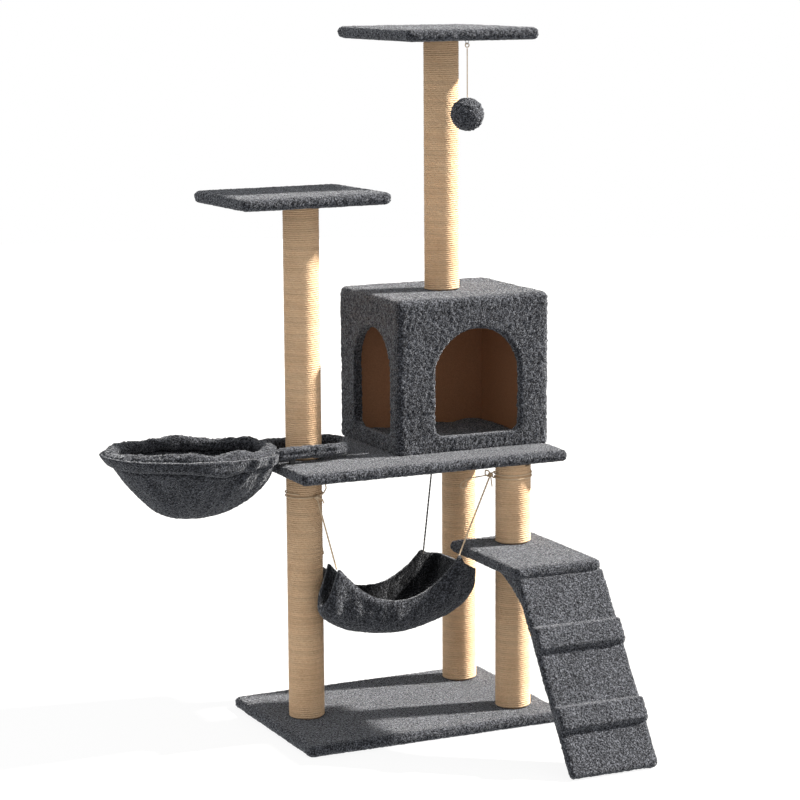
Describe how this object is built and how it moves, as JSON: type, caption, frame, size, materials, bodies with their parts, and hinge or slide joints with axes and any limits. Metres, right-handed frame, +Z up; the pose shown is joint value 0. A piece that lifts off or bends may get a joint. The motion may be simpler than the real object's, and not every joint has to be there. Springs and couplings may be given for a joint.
{
  "type": "cat tree",
  "caption": "Multi-level cat tree with sisal posts, plush decks, a boxed house, a wire-framed basket, a hung hammock, a dangling pompom and a hinged ramp.",
  "frame": {"origin": "middle of the base's underside, on the floor", "axes": "+X to the right along the base's long side, +Y to the back, +Z up; the ramp points to -Y and the basket to -X"},
  "size_m": [0.8992, 0.7622, 1.353],
  "materials": {
    "plush": "shaggy charcoal-grey plush",
    "sisal": "tan sisal rope in close turns",
    "cardboard": "spiral-wound tube",
    "jute_cord": "twisted natural cord",
    "chipboard": "bare particle board",
    "pine": "sawn softwood",
    "black_wire": "satin black coating",
    "zinc_steel": "zinc plated"
  },
  "bodies": {
    "stand": {"back_right_post_sisal": "sisal", "back_right_post_tube": "cardboard", "base_board": "chipboard", "base_cover": "plush", "basket_arm_sleeve": "plush", "basket_arm_wire": "black_wire", "basket_bag": "plush", "basket_clip_screws": "zinc_steel", "basket_clips": "zinc_steel", "basket_ring_roll": "plush", "basket_ring_wire": "black_wire", "front_right_lower_post_sisal": "sisal", "front_right_lower_post_tube": "cardboard", "front_right_upper_post_sisal": "sisal", "front_right_upper_post_tube": "cardboard", "hammock_knots": "jute_cord", "hammock_post_loops": "jute_cord", "house_back_panel": "chipboard", "house_cover": "plush", "house_floor_pad": "plush", "house_front_panel": "chipboard", "house_left_panel": "chipboard", "house_right_panel": "chipboard", "house_roof_panel": "chipboard", "house_screws": "zinc_steel", "left_lower_post_sisal": "sisal", "left_lower_post_tube": "cardboard", "left_upper_post_sisal": "sisal", "left_upper_post_tube": "cardboard", "perch_board": "chipboard", "perch_cover": "plush", "platform_board": "chipboard", "platform_cover": "plush", "pompom_staple": "zinc_steel", "post_bolts": "zinc_steel", "post_end_plugs": "pine", "post_studs": "zinc_steel", "post_washers": "zinc_steel", "ramp_hinge_pins": "zinc_steel", "ramp_hinge_step_leaves": "zinc_steel", "ramp_hinge_step_screws": "zinc_steel", "roof_post_sisal": "sisal", "roof_post_tube": "cardboard", "step_board": "chipboard", "step_cover": "plush", "top_board": "chipboard", "top_cover": "plush"},
    "ramp": {"ramp_board": "chipboard", "ramp_cleats": "pine", "ramp_cover": "plush", "ramp_hinge_ramp_leaves": "zinc_steel", "ramp_hinge_ramp_screws": "zinc_steel"},
    "hammock": {"hammock_cloth": "plush", "hammock_cord_front_left": "jute_cord", "hammock_cord_front_right": "jute_cord", "hammock_cord_back_left": "jute_cord", "hammock_cord_back_right": "jute_cord"},
    "pompom_loop": {"pompom_tie_loop": "jute_cord"},
    "pompom": {"pompom_ball": "plush", "pompom_cord": "jute_cord"}
  },
  "joints": [
    {"name": "ramp_lift", "type": "hinge", "parent": "stand", "child": "ramp", "pos_m": [0.1915, -0.321, 0.33], "axis": [-1, 0, 0], "range_deg": [0, 56]},
    {"name": "hammock_sway", "type": "hinge", "parent": "stand", "child": "hammock", "pos_m": [-0.04, -0.0437, 0.478], "axis": [1, 0, 0], "range_deg": [-5, 5]},
    {"name": "pompom_swing_x", "type": "hinge", "parent": "stand", "child": "pompom_loop", "pos_m": [0.124, -0.065, 1.323], "axis": [0, 1, 0], "range_deg": [-60, 60]},
    {"name": "pompom_swing_y", "type": "hinge", "parent": "pompom_loop", "child": "pompom", "pos_m": [0.124, -0.065, 1.3171], "axis": [1, 0, 0], "range_deg": [-60, 25]}
  ]
}
